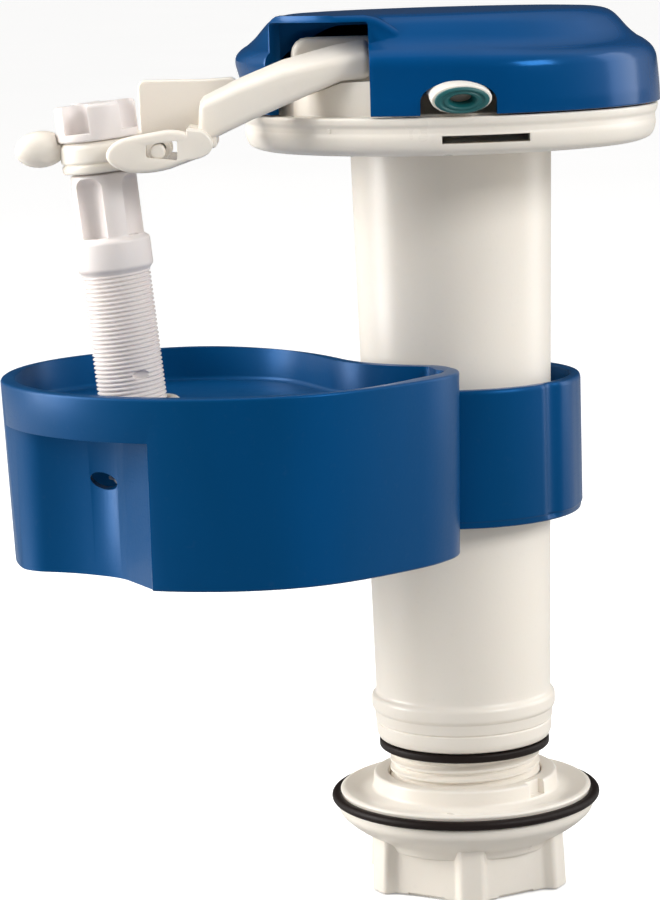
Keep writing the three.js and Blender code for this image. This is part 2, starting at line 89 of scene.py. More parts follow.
class ValveFinishes(bpy.types.PropertyGroup):
    """Base colours of the mouldings and rubber pieces."""

    ivory: colour_property("Ivory plastic", "Tube, head, nut and lever", (0.87, 0.815, 0.735))
    white: colour_property("White plastic", "Adjuster rod", (0.82, 0.765, 0.745))
    cap_blue: colour_property("Gloss blue", "Cap", (0.0008, 0.056, 0.188))
    float_blue: colour_property("Satin blue", "Float and guide sleeve", (0.0008, 0.054, 0.170))
    teal: colour_property("Teal rubber", "Refill seal and flow restrictor", (0.006, 0.105, 0.112))
    black: colour_property("Black rubber", "Seals and diaphragm", (0.010, 0.005, 0.004))
    grey: colour_property("Grey plastic", "Supply pipe, plate and strainer", (0.27, 0.275, 0.28))
    steel: colour_property("Pin steel", "The lever's pin", (0.56, 0.57, 0.58))


class ValveSizes(bpy.types.PropertyGroup):
    """Sizes of the fine detail."""

    rod_pitch: bpy.props.FloatProperty(
        name="Rod thread pitch", description="Rise of the adjuster rod's thread in one turn",
        default=0.8 * MM, unit="LENGTH", min=0.4 * MM, max=2 * MM,
    )
    rod_depth: bpy.props.FloatProperty(
        name="Rod thread depth", description="Depth of the adjuster rod's thread",
        default=0.42 * MM, unit="LENGTH", min=0.1 * MM, max=MM,
    )
    shank_pitch: bpy.props.FloatProperty(
        name="Shank thread pitch", description="Rise of the mounting shank's thread in one turn",
        default=1.81 * MM, unit="LENGTH", min=MM, max=4 * MM,
    )
    cap_dish: bpy.props.FloatProperty(
        name="Cap dish depth", description="Depth of the finger dish in the cap's slope",
        default=1.1 * MM, unit="LENGTH", min=0, max=2 * MM,
    )


class ValveStage(bpy.types.PropertyGroup):
    """Floor, lights and camera."""

    lens: bpy.props.FloatProperty(
        name="Lens", description="Focal length on a 36 mm sensor", default=124.84, min=20, max=400,
    )
    camera_at: bpy.props.FloatVectorProperty(
        name="Camera position", description="Where the camera stands", subtype="TRANSLATION", size=3,
        default=(-24.953 * MM, -602.687 * MM, 155.859 * MM),
    )
    pitch: bpy.props.FloatProperty(
        name="Camera pitch", description="How far the camera looks down", subtype="ANGLE",
        default=math.radians(9.076),
    )
    roll: bpy.props.FloatProperty(
        name="Camera roll", description="Turn about the line of sight", subtype="ANGLE",
        default=math.radians(-1.7185),
    )
    left_power: bpy.props.FloatProperty(
        name="Left light", description="Power of the left softbox", unit="POWER", default=8.6, min=0,
    )
    right_power: bpy.props.FloatProperty(
        name="Right light", description="Power of the right softbox", unit="POWER", default=3.0, min=0,
    )
    key_power: bpy.props.FloatProperty(
        name="Key light", description="Power of the high softbox in front", unit="POWER", default=7.6, min=0,
    )
    surround: bpy.props.FloatProperty(
        name="Surround", description="Strength of the white surroundings", default=1.05, min=0, max=4,
    )


def finishes():
    return bpy.context.scene.valve_finishes


def sizes():
    return bpy.context.scene.valve_sizes


# ---- materials ----

def add_node(tree, kind, **values):
    """Adds a node; values are its settings, its inputs by name, or sockets to link to them."""
    made = tree.nodes.new(kind)
    for key, value in values.items():
        if hasattr(made, key):
            setattr(made, key, value)
            continue
        socket = made.inputs[int(key[1:])] if key[1:].isdigit() else made.inputs[key.replace("_", " ")]
        if isinstance(value, bpy.types.NodeSocket):
            tree.links.new(value, socket)
        else:
            socket.default_value = value
    return made


def noise(tree, vector, scale, detail=2.0, roughness=0.5):
    """A noise pattern's value."""
    made = add_node(tree, "ShaderNodeTexNoise", Vector=vector, Scale=scale, Detail=detail, Roughness=roughness)
    return made.outputs["Factor" if "Factor" in made.outputs else "Fac"]


def remap(tree, value, low, high, out_low=0.0, out_high=1.0):
    """Stretches a value's range."""
    made = add_node(
        tree, "ShaderNodeMapRange", Value=value, From_Min=low, From_Max=high, To_Min=out_low, To_Max=out_high
    )
    return made.outputs["Result"]


def mixed(tree, factor, first, second):
    """A blend of two colours."""
    made = add_node(tree, "ShaderNodeMix", data_type="RGBA", i0=factor, i6=first, i7=second)
    return made.outputs[2]


def tinted(colour, factors):
    return tuple(min(1, c * f) for c, f in zip(colour, factors)) + (1,)


def moulded(name, colour, roughness, bump=0.12, mottle=0.05, scuffs=0.10, dust=0.35, **shader):
    """A moulded plastic or rubber: flow mottling, fine grain, handling scuffs and a little dust."""
    material = bpy.data.materials.new(name)
    material.use_nodes = True
    tree = material.node_tree
    tree.nodes.clear()
    coords = add_node(tree, "ShaderNodeTexCoord").outputs["Object"]
    flow = add_node(tree, "ShaderNodeMapping", Vector=coords, Scale=(1, 1, 0.35)).outputs["Vector"]
    cloud = remap(tree, noise(tree, flow, 55, 3), 0.3, 0.7)
    speck = remap(tree, noise(tree, coords, 900, 2), 0.62, 0.8)
    deeper = tinted(colour, (1 - mottle * 0.8, 1 - mottle, 1 - mottle * 1.4))
    dusty = tuple(c * 0.86 + 0.05 for c in colour) + (1,)
    base = mixed(tree, cloud, tinted(colour, (1, 1, 1)), deeper)
    base = mixed(tree, remap(tree, speck, 0, 1, 0, dust), base, dusty)
    hairs = add_node(
        tree, "ShaderNodeMapping", Vector=coords, Scale=(1, 1, 14), Rotation=(0.5, 0.9, 0.3)
    ).outputs["Vector"]
    scuff = remap(tree, noise(tree, hairs, 260, 4, 0.65), 0.55, 0.75)
    rough = add_node(
        tree, "ShaderNodeMath", operation="MULTIPLY_ADD", i0=scuff, i1=scuffs,
        i2=remap(tree, cloud, 0, 1, roughness * 0.9, roughness * 1.12),
    ).outputs[0]
    grain = noise(tree, coords, 1600, 3)
    relief = add_node(
        tree, "ShaderNodeMath", operation="MULTIPLY_ADD", i0=cloud, i1=0.6, i2=grain
    ).outputs[0]
    bumped = add_node(
        tree, "ShaderNodeBump", Strength=bump, Distance=0.00012, Height=relief
    ).outputs["Normal"]
    principled = add_node(
        tree, "ShaderNodeBsdfPrincipled", Base_Color=base, Roughness=rough, Normal=bumped, **shader
    )
    add_node(tree, "ShaderNodeOutputMaterial", Surface=principled.outputs["BSDF"])
    return material


def make_materials():
    """One material for each of the record's material slots."""
    colours = finishes()
    soft = {"Subsurface_Weight": 0.12, "Subsurface_Radius": (1.0, 0.75, 0.55), "Subsurface_Scale": 0.0015}
    return {
        "ivory_plastic": moulded("ivory_plastic", colours.ivory, 0.3, 0.10, 0.035, **soft),
        "white_plastic": moulded("white_plastic", colours.white, 0.36, 0.10, 0.03, **soft),
        "blue_gloss": moulded(
            "blue_gloss", colours.cap_blue, 0.17, 0.05, 0.10, 0.05, 0.05, Specular_Tint=BLUE_GLINT
        ),
        "blue_satin": moulded(
            "blue_satin", colours.float_blue, 0.32, 0.10, 0.12, 0.08, 0.08, Specular_Tint=BLUE_GLINT
        ),
        "teal_rubber": moulded("teal_rubber", colours.teal, 0.42, 0.3, 0.15),
        "black_rubber": moulded(
            "black_rubber", colours.black, 0.5, 0.35, 0.2, 0.1, 0.1, Specular_IOR_Level=0.2
        ),
        "grey_plastic": moulded("grey_plastic", colours.grey, 0.42, 0.2, 0.08),
        "pin_steel": moulded("pin_steel", colours.steel, 0.26, 0.1, 0.04, 0.2, Metallic=1.0),
    }


MATERIALS = {}


# ---- shapes, in millimetres ----

def tidy(bm):
    """Merges doubles, drops loose edges and turns the faces outwards."""
    bmesh.ops.remove_doubles(bm, verts=bm.verts[:], dist=MERGE)
    bmesh.ops.dissolve_degenerate(bm, edges=bm.edges[:], dist=MERGE)
    bmesh.ops.delete(bm, geom=[edge for edge in bm.edges if not edge.link_faces], context="EDGES")
    bmesh.ops.recalc_face_normals(bm, faces=bm.faces[:])
    return bm


def rounded_corners(bm, verts, points):
    """Rounds each corner whose point has a third number by that much."""
    for vert, point in zip(verts, points):
        if len(point) > 2 and point[2]:
            bmesh.ops.bevel(
                bm, geom=[vert], offset=point[2], offset_type="OFFSET", segments=ARC,
                profile=0.5, affect="VERTICES", material=-1,
            )


def turned(points, steps=FINE):
    """A profile of (radius, height, rounding), turned about Z. It ends on the axis or is closed."""
    bm = bmesh.new()
    verts = [bm.verts.new((p[0], 0, p[1])) for p in points]
    on_axis = points[0][0] == 0 and points[-1][0] == 0
    for a, b in zip(verts, verts[1:] + ([] if on_axis else verts[:1])):
        bm.edges.new((a, b))
    rounded_corners(bm, verts, points)
    bmesh.ops.spin(
        bm, geom=bm.verts[:] + bm.edges[:], cent=(0, 0, 0), axis=(0, 0, 1), angle=math.tau,
        steps=steps, use_merge=True, use_duplicate=False,
    )
    return tidy(bm)


def slab(points, bottom, top, rounding=0.0, clamp=True):
    """A plan outline of (x, y, rounding), from bottom to top, with its two rims rounded."""
    bm = bmesh.new()
    verts = [bm.verts.new((p[0], p[1], bottom)) for p in points]
    bm.faces.new(verts)
    rounded_corners(bm, verts, points)
    grown = bmesh.ops.extrude_face_region(bm, geom=bm.faces[:])
    raised = [v for v in grown["geom"] if isinstance(v, bmesh.types.BMVert)]
    bmesh.ops.translate(bm, verts=raised, vec=(0, 0, top - bottom))
    bmesh.ops.recalc_face_normals(bm, faces=bm.faces[:])
    if rounding:
        rims = [e for e in bm.edges if abs(e.verts[0].co.z - e.verts[1].co.z) < 1e-6]
        bevel_edges(bm, rims, rounding, 4, clamp)
    return bm


def side_slab(points, front, back, rounding=0.0, clamp=False):
    """A side outline of (x, z, rounding), from front to back along Y."""
    bm = slab(points, 0, back - front, rounding, clamp)
    return moved(bm, Matrix.Translation((0, back, 0)) @ Matrix.Rotation(math.pi / 2, 4, "X"))


def block(low, high, rounding=0.0):
    """A box between two corners."""
    outline = [(low[0], low[1]), (high[0], low[1]), (high[0], high[1]), (low[0], high[1])]
    bm = slab(outline, low[2], high[2])
    if rounding:
        bevel_edges(bm, bm.edges[:], rounding)
    return bm


def post(radius, bottom, top, rounding=0.0, steps=SMALL):
    """A plain round post about Z."""
    return turned([(0, bottom), (radius, bottom, rounding), (radius, top, rounding), (0, top)], steps)


def oval(half_width, half_depth, bottom, top, rounding=0.0):
    """A post with an oval plan."""
    bm = post(1, bottom, top)
    bmesh.ops.scale(bm, vec=(half_width, half_depth, 1), verts=bm.verts[:])
    if rounding:
        soften(bm, rounding)
    return bm


def cross_pin(radius, x, z, front, back, rounding=0.0, steps=SMALL):
    """A round pin along Y."""
    bm = post(radius, 0, back - front, rounding, steps)
    return moved(bm, Matrix.Translation((x, back, z)) @ Matrix.Rotation(math.pi / 2, 4, "X"))


def moved(bm, matrix):
    bmesh.ops.transform(bm, verts=bm.verts[:], matrix=matrix)
    return bm


def bevel_edges(bm, edges, width, segments=3, clamp=True):
    """Rounds these edges."""
    bmesh.ops.bevel(
        bm, geom=edges, offset=width, offset_type="OFFSET", segments=segments, profile=0.5,
        affect="EDGES", clamp_overlap=clamp, material=-1,
    )


def soften(bm, width, where=None, sharp=32, segments=2, clamp=True):
    """Rounds the sharp edges, or those of them whose middle passes the test."""
    bmesh.ops.remove_doubles(bm, verts=bm.verts[:], dist=0.03)
    bmesh.ops.dissolve_degenerate(bm, edges=bm.edges[:], dist=0.03)
    limit = math.radians(sharp)
    edges = [
        e for e in bm.edges
        if e.is_manifold and e.calc_face_angle(0) > limit
        and (where is None or where((e.verts[0].co + e.verts[1].co) / 2))
    ]
    bevel_edges(bm, edges, width, segments, clamp)
    return bm


def trimmed(bm, point, normal):
    """Takes away what is on the normal's side of a plane and closes the cut."""
    everything = bm.verts[:] + bm.edges[:] + bm.faces[:]
    bmesh.ops.bisect_plane(bm, geom=everything, plane_co=point, plane_no=normal, clear_outer=True)
    bmesh.ops.holes_fill(bm, edges=[e for e in bm.edges if e.is_boundary], sides=0)
    return bm


def combined(bm, tool, operation):
    """Two closed shapes cut, joined or crossed; the result replaces both."""
    shapes = []
    for shape in (bm, tool):
        mesh = bpy.data.meshes.new("shape")
        shape.to_mesh(mesh)
        shape.free()
        shapes.append(bpy.data.objects.new("shape", mesh))
        bpy.context.scene.collection.objects.link(shapes[-1])
    modifier = shapes[0].modifiers.new("combine", "BOOLEAN")
    modifier.operation = operation
    modifier.solver = "EXACT"
    modifier.object = shapes[1]
    result = bmesh.new()
    result.from_object(shapes[0], bpy.context.evaluated_depsgraph_get())
    for shape in shapes:
        mesh = shape.data
        bpy.data.objects.remove(shape)
        bpy.data.meshes.remove(mesh)
    return result


def joined(bm, *tools):
    for tool in tools:
        bm = combined(bm, tool, "UNION")
    return bm


def cut(bm, *tools):
    for tool in tools:
        bm = combined(bm, tool, "DIFFERENCE")
    return bm


def threaded(root, crest, pitch, bottom, top, steps=48):
    """A closed threaded length: a toothed line turned once while it rises by one pitch."""
    bm = bmesh.new()
    heights = [bottom - 2 * pitch + i * pitch for i in range(int((top - bottom) / pitch) + 4)]
    verts = []
    for z in heights:
        for radius, share in ((root, 0.0), (root, 0.16), (crest, 0.46), (crest, 0.7)):
            verts.append(bm.verts.new((radius, 0, z + share * pitch)))
    for a, b in zip(verts, verts[1:]):
        bm.edges.new((a, b))
    bmesh.ops.spin(
        bm, geom=bm.verts[:] + bm.edges[:], cent=(0, 0, 0), axis=(0, 0, 1), angle=math.tau,
        dvec=(0, 0, pitch / steps), steps=steps, use_merge=False, use_duplicate=False,
    )
    bmesh.ops.remove_doubles(bm, verts=bm.verts[:], dist=MERGE)
    for height, outward in ((bottom, -1), (top, 1)):
        trimmed(bm, (0, 0, height), (0, 0, outward))
    return tidy(bm)


def leaning(bm):
    """Moves a shape from the adjuster rod's own frame to its place."""
    return moved(bm, Matrix.Translation(ROD_BASE) @ Matrix.Rotation(-LEAN, 4, "Y"))


def bump_shape(value, middle, half_width):
    """A smooth hump of height 1 round a middle, 0 beyond its half width."""
    share = min(1.0, abs(value - middle) / half_width)
    return (1 - share * share) ** 2


def piece(name, bm, body, slot, *nodes, sharp=38):
    """Finishes a shape: scaled to metres, smooth but for its sharp edges, riding on its body."""
    tidy(bm)
    bmesh.ops.scale(bm, vec=(MM, MM, MM), verts=bm.verts[:])
    mesh = bpy.data.meshes.new(name)
    bm.to_mesh(mesh)
    bm.free()
    mesh.shade_smooth()
    mesh.set_sharp_from_angle(angle=math.radians(sharp))
    mesh.materials.append(MATERIALS[slot])
    made = bpy.data.objects.new(name, mesh)
    bpy.context.scene.collection.objects.link(made)
    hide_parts(*nodes)
    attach(made, body)
    return made


class ValveOperator:
    """What every operator of this add-on shares."""

    bl_options = {"REGISTER", "UNDO"}

    def execute(self, context):
        self.build(context)
        return {"FINISHED"}


# ---- stage ----

def area_light(name, place, size, height, power, colour=(1, 1, 1)):
    """A softbox that faces the valve's middle."""
    light = bpy.data.lights.new(name, "AREA")
    light.shape = "RECTANGLE"
    light.size = size
    light.size_y = height
    light.energy = power
    light.color = colour
    made = bpy.data.objects.new(name, light)
    made.location = place
    made.rotation_euler = (LIGHTS_AIM - Vector(place)).to_track_quat("-Z", "Y").to_euler()
    bpy.context.scene.collection.objects.link(made)


class BuildStage(ValveOperator, bpy.types.Operator):
    """Makes the materials, floor, soft lights, white surroundings and camera"""

    bl_idname = "fill_valve.stage"
    bl_label = "Stage"

    def build(self, context):
        stage = context.scene.valve_stage
        MATERIALS.update(make_materials())
        self.floor(CAD_BOX)
        self.surroundings(stage.surround)
        area_light("softbox_left", (-0.75, 0.0, 0.3), 0.4, 0.8, stage.left_power, (1, 0.985, 0.96))
        area_light("softbox_right", (1.0, 0.3, 0.3), 0.5, 1.0, stage.right_power)
        area_light("softbox_key", (0.85, -0.75, 0.72), 0.4, 0.4, stage.key_power)
        self.camera(stage)
        context.scene.view_settings.view_transform = "Standard"

    def floor(self, box):
        """A pale painted floor under the nut."""
        bm = bmesh.new()
        bmesh.ops.create_circle(bm, cap_ends=True, radius=18, segments=96)
        bmesh.ops.translate(bm, verts=bm.verts[:], vec=(0, 0, box[0][2] - 0.0002))
        mesh = bpy.data.meshes.new("floor")
        bm.to_mesh(mesh)
        bm.free()
        material = bpy.data.materials.new("pale_floor")
        material.use_nodes = True
        tree = material.node_tree
        tree.nodes.clear()
        coords = add_node(tree, "ShaderNodeTexCoord").outputs["Object"]
        patches = remap(tree, noise(tree, coords, 3, 3), 0.3, 0.7)
        seen = add_node(tree, "ShaderNodeLightPath").outputs["Is Camera Ray"]
        paint = mixed(tree, patches, (0.93, 0.93, 0.93, 1), (0.91, 0.91, 0.912, 1))
        base = mixed(tree, seen, (0.42, 0.42, 0.42, 1), paint)
        glow = mixed(tree, seen, (0, 0, 0, 1), (0.3, 0.3, 0.3, 1))
        surface = add_node(
            tree, "ShaderNodeBsdfPrincipled", Base_Color=base, Roughness=0.9, Specular_IOR_Level=0.1,
            Emission_Color=glow, Emission_Strength=1.0,
        )
        add_node(tree, "ShaderNodeOutputMaterial", Surface=surface.outputs["BSDF"])
        mesh.materials.append(material)
        floor = bpy.data.objects.new("floor", mesh)
        bpy.context.scene.collection.objects.link(floor)

    def surroundings(self, strength):
        """White at the sides and above, dimmer in front and darkest behind, as between two screens."""
        world = bpy.data.worlds.new("studio")
        world.use_nodes = True
        tree = world.node_tree
        tree.nodes.clear()
        way = add_node(tree, "ShaderNodeTexCoord").outputs["Generated"]
        front = add_node(
            tree, "ShaderNodeVectorMath", operation="DOT_PRODUCT", i0=way, i1=(0, -0.98, -0.17)
        ).outputs["Value"]
        dim = remap(tree, front, 0.1, 0.85, strength, strength * 0.25)
        dark = remap(tree, front, -0.9, -0.35, 0.04, 1.0)
        lit = add_node(tree, "ShaderNodeMath", operation="MULTIPLY", i0=dim, i1=dark).outputs[0]
        seen = add_node(tree, "ShaderNodeLightPath").outputs["Is Camera Ray"]
        level = add_node(tree, "ShaderNodeMix", data_type="FLOAT", i0=seen, i2=lit, i3=1.0).outputs[0]
        light = add_node(tree, "ShaderNodeBackground", Color=(1, 0.995, 0.985, 1), Strength=level)
        add_node(tree, "ShaderNodeOutputWorld", Surface=light.outputs["Background"])
        bpy.context.scene.world = world

    def camera(self, stage):
        """The viewpoint, with a slight roll."""
        lens = bpy.data.cameras.new("camera")
        lens.lens = stage.lens
        lens.sensor_width = 36
        lens.clip_end = 100
        made = bpy.data.objects.new("camera", lens)
        tilt = Matrix.Rotation(math.pi / 2 - stage.pitch, 4, "X") @ Matrix.Rotation(stage.roll, 4, "Z")
        made.matrix_world = Matrix.Translation(stage.camera_at) @ tilt
        bpy.context.scene.collection.objects.link(made)
        bpy.context.scene.camera = made


# ---- tube and nut ----

class BuildTube(ValveOperator, bpy.types.Operator):
    """Makes the riser tube with its bead, skirt and threaded shank, and the shank seal"""

    bl_idname = "fill_valve.tube"
    bl_label = "Riser tube"

    def build(self, context):
        tube = turned([
            (12.4, -24), (14.0, -24), (14.0, 1.9, 0.3), (16.7, 1.9, 0.5), (17.25, 3.1, 0.3),
            (17.35, 5.2, 0.1), (17.1, 5.45, 0.1), (17.45, 5.7, 0.1), (17.6, 7.7, 0.1), (17.9, 8.0, 0.2),
            (18.1, 8.4, 0.3), (18.1, 10.6, 0.5), (17.3, 11.2, 0.4), (17.2, 12.2, 0.5),
            (19.4, 121.5, 0.3), (17.5, 121.5, 0.3), (15.3, 11.0, 1.5), (12.4, 1.9, 1.2),
        ])
        thread = threaded(13.95, 14.8, sizes().shank_pitch / MM, -24.5, 1.0, 96)
        end = turned([(12.4, -25, 0.3), (14.0, -25, 0.4), (14.3, -24.2), (12.4, -24.2)])
        bore = post(12.4, -30, 1.5, 0, FINE)
        tube = joined(tube, cut(thread, bore), end)
        piece("riser_tube_moulding", tube, "valve_body", "ivory_plastic", "riser_tube")
        seal = turned([(15.1, 0, 0.3), (16.8, 0, 0.5), (16.8, 1.6, 0.5), (15.1, 1.6, 0.3)])
        piece("shank_seal_ring", seal, "valve_body", "black_rubber", "shank_seal")


class BuildNut(ValveOperator, bpy.types.Operator):
    """Makes the flanged nut and the ring in its rim"""

    bl_idname = "fill_valve.nut"
    bl_label = "Flanged nut"

    def build(self, context):
        flange = turned([
            (15.1, -5.2, 0.4), (18.1, -5.2, 0.5), (18.3, -8.3, 0.5), (20.4, -8.9, 0.8), (24.2, -8.0, 0.5),
            (24.9, -8.5, 0.3), (24.6, -9.2), (24.6, -10.6), (25.4, -11.0, 0.3), (25.2, -12.8, 0.8),
            (22.6, -15.2, 1.6), (18.7, -17.4, 1.0), (18.3, -19, 0.5), (15.1, -19, 0),
        ])
        outline = []
        rib = ((-9.5, 18.1, 0.5), (-6.5, 20.35, 0.8), (6.5, 20.35, 0.8), (9.5, 18.1, 0.5))
        for turn in range(HEX_SIDES):
            middle = math.radians(30 + 60 * turn)
            for step, radius, rounding in rib:
                angle = middle + math.radians(step)
                outline.append((radius * math.cos(angle), radius * math.sin(angle), rounding))
        hexagon = slab(outline, -27, -12.5, 0.45)
        for vert in hexagon.verts:
            vert.co.xy *= 1 + 0.035 * bump_shape(vert.co.z, -27, 3.0)
        bore = post(15.1, -30, 0, 0, FINE)
        scallops = [
            moved(post(2.6, -4, 4), Matrix.Rotation(math.radians(60 * turn), 4, "Z")
                  @ Matrix.Translation((19.2, 0, -28.4)) @ Matrix.Rotation(math.pi / 2, 4, "X"))
            for turn in range(HEX_SIDES)
        ]
        notch = moved(
            block((16.6, -2.2, -8.0), (19, 2.2, -4.8)), Matrix.Rotation(math.radians(-42), 4, "Z")
        )
        nut = cut(joined(flange, hexagon), bore, notch, *scallops)
        soften(nut, 0.3, lambda p: p.z < -25.5 or p.z > -8 and p.x > 10)
        piece("flange_nut_moulding", nut, "nut", "ivory_plastic", "flange_nut")
        ring = turned([
            (24.75, -9.05, 0.4), (26.55, -9.05, 0.8), (26.55, -10.75, 0.8), (24.75, -10.75, 0.4),
        ])
        piece("nut_rim_ring", ring, "nut_ring", "black_rubber", "nut_o_ring")


# ---- head ----

class BuildHead(ValveOperator, bpy.types.Operator):
    """Makes the valve head's tray with its turret, pivot ears, stop lug, slot and notches"""

    bl_idname = "fill_valve.head"
    bl_label = "Valve head"

    def build(self, context):
        tray = turned([
            (19.7, 118.6, 0.2), (37.0, 118.6, 1.6), (39.0, 119.9, 1.4), (39.5, 122.3, 0.6), (39.3, 122.9, 0.3),
            (39.3, 123.9, 0.3), (39.7, 124.4, 0.4), (39.9, 125.8, 0.5), (36.2, 125.8, 0.3), (36.2, 133.2, 0.5),
            (34.6, 133.2, 0.5), (34.6, 120.7, 0.8), (22.4, 120.7, 0.6), (22.4, 129.3, 0.3), (18.3, 129.3, 0.3),
            (18.3, 127.5, 0.2), (13, 127.5, 0.4), (13, 122.2, 0.2), (19.7, 122.2, 0.1),
        ])
        ears = [
            side_slab([
                (-14.7, 120.2), (-8, 120.2), (-9.4, 136, 1.6), (-10.6, 137.2, 1), (-13.4, 137.2, 1),
                (-14.7, 136, 1.6),
            ], front, front + 2, 0.4)
            for front in (-31.2, -23.6)
        ]
        lug = side_slab([(-14.5, 122), (-14.5, 140.3, 1.6), (-30, 140.3, 3), (-30, 122)], -21.4, -18.4, 1.3)
        ribs = [
            moved(block((22, -0.7, 120.5), (35, 0.7, 124.2), 0.25), Matrix.Rotation(math.radians(turn), 4, "Z"))
            for turn in (20, 65, 110, 155, 200)
        ]
        gate = moved(post(0.45, -0.12, 0.12, 0.08), Matrix.Translation((-23.4, -31.6, 123.4))
                     @ Matrix.Rotation(math.radians(-37), 4, "Z") @ Matrix.Rotation(math.pi / 2, 4, "X"))
        head = joined(tray, *ears, lug, *ribs, gate)
        under_arm = side_slab([
            (-44, 122.2), (-37.7, 125.3), (-28.5, 129), (-22.4, 131.5), (-20.8, 132.1), (-14.8, 132.3),
            (-14.8, 141), (-44, 141),
        ], -34.5, -24.4)
        cuts = [
            cross_pin(1.7, -12, 134.6, -40, -20),
            block((-3.1, -45, 120.9), (12.9, -30, 122.4)),
            block((-7.2, -37.5, 126.2), (8.4, -33, 134.5)),
            under_arm,
        ]
        head = cut(head, *cuts)
        soften(head, 0.2, lambda p: p.y < -30 and -3.2 < p.x < 13 and 120 < p.z < 123)
        piece("head_base_moulding", head, "valve_body", "ivory_plastic", "head_base")


class BuildRefillPort(ValveOperator, bpy.types.Operator):
    """Makes the oval refill port and its stepped teal seal"""

    bl_idname = "fill_valve.refill_port"
    bl_label = "Refill port"

    def build(self, context):
        place = Matrix.Translation((0.6, -41.6, 128.7)) @ Matrix.Rotation(math.radians(8), 4, "Z")
        place = place @ Matrix.Rotation(math.radians(110), 4, "X")
        boss = self.oval_ring([
            (3.6, -7.5), (5.6, -7.5), (5.6, -0.7, 0.35), (4.7, -0.5, 0.2), (4.6, -2.4), (3.6, -2.4),
        ])
        bracket = block((-3.4, -37, 126.7), (4, -34.6, 130.4), 0.3)
        port = joined(moved(boss, place), bracket)
        piece("refill_port_moulding", port, "valve_body", "ivory_plastic", "refill_port")
        seal = self.oval_ring([
            (2.0, -2.2), (4.5, -2.2), (4.9, -0.6, 0.2), (5.1, -0.1, 0.25), (4.2, 0.2, 0.2), (3.9, -0.1, 0.15),
            (3.5, -0.1, 0.15), (3.3, 0.1, 0.2), (2.6, 0.0, 0.2), (2.1, -0.9, 0.3),
        ])
        piece("refill_port_seal", moved(seal, place), "valve_body", "teal_rubber", "refill_seal")

    def oval_ring(self, points):
        """A turned ring flattened to an oval."""
        bm = turned(points, 96)
        bmesh.ops.scale(bm, vec=(1, 0.5, 1), verts=bm.verts[:])
        return bm


class BuildCap(ValveOperator, bpy.types.Operator):
    """Makes the blue cap with the hood over its mouth, arched window and finger dish"""

    bl_idname = "fill_valve.cap"
    bl_label = "Cap"

    def build(self, context):
        inside = [
            (0, 142.3), (20, 142.3), (27.5, 142.2, 1), (30.7, 140.6, 2), (34.1, 138.4, 1.5), (37.2, 135.2, 1),
            (38.2, 131), (38.2, 126.1, 0.2),
        ]
        dome = self.shaped(turned(inside + [
            (40.3, 126.1, 0.3), (40.2, 129), (39.95, 132.2), (39.6, 135.7, 1.4), (37.7, 137.6, 1.2), (36, 138.5),
            (34.4, 139.8, 1), (33, 141.5, 1), (31.2, 143.4, 1.2), (28.6, 144.15, 1.2), (24, 144.35), (16, 144.4),
            (8, 144.4), (0, 144.4),
        ], 216))
        hood = side_slab([
            (-34.2, 135), (-7.6, 135), (-7.6, 139.4), (-12.2, 142.8, 1.6), (-15.2, 144.34, 1.6),
            (-34.2, 144.34, 2.4),
        ], -33.8, -15.5, 1.4)
        hood = combined(hood, post(39.8, 130, 150, 0, FINE), "INTERSECT")
        hood = cut(hood, self.hollow(inside))
        mouth = slab([
            (-60, -36.8), (-32, -19.6), (-32, -17), (-15.8, -17), (-15.8, -60), (-60, -60),
        ], 120, 143.1, 0.6)
        room = block((-16.8, -32.3, 120), (-12.4, -17, 142.2))
        window = side_slab(self.arch(6.9, 128.6, 3.6), -60, -30)
        cap = cut(joined(dome, hood), mouth, room, window)
        soften(tidy(cap), 0.5, self.opening_edge, 40, 2)
        piece("cap_moulding", cap, "cap", "blue_gloss", "cap", sharp=50)

    def shaped(self, dome):
        """Sinks the finger dish into the right slope and fills out the left one."""
        dish = sizes().cap_dish / MM
        for vert in dome.verts:
            radius = vert.co.xy.length
            turn = math.degrees(math.atan2(vert.co.y, vert.co.x))
            if radius > 26 and vert.co.z > 136.4:
                vert.co.z -= dish * bump_shape(turn, -54, 44) * bump_shape(radius, 34.5, 5.5)
            if radius > 12:
                left = min(1, 1.7 * bump_shape((turn + 360) % 360, 200, 82))
                rise = min(1, max(0, (vert.co.z - 131) / 8))
                outward = 2.5 * left * rise * rise * (3 - 2 * rise)
                vert.co.xy *= 1 + outward * min(1, (radius - 12) / 18) / radius
        return dome

    def hollow(self, inside):
        """The space under the dome as a solid."""
        outer = [(38.2, 120)] + inside[::-1][:-1] + [(0, inside[0][1])]
        return turned([(0, 120)] + outer, 216)

    def opening_edge(self, spot):
        """Whether a sharp edge is on the mouth or the window."""
        mouth = spot.y < -16.5 and -35.5 < spot.x < -15.2 and spot.z < 143.5
        window = spot.y < -30 and abs(spot.x) < 7.3 and spot.z < 133
        return mouth or window

    def arch(self, half_width, springing, rise):
        """The window's outline, from below the cap's edge."""
        over = [math.pi * i / 24 for i in range(25)]
        curve = [(half_width * math.cos(a), springing + rise * math.sin(a)) for a in over]
        return [(-half_width, 120), (half_width, 120)] + curve


# ---- lever, collar and rod ----

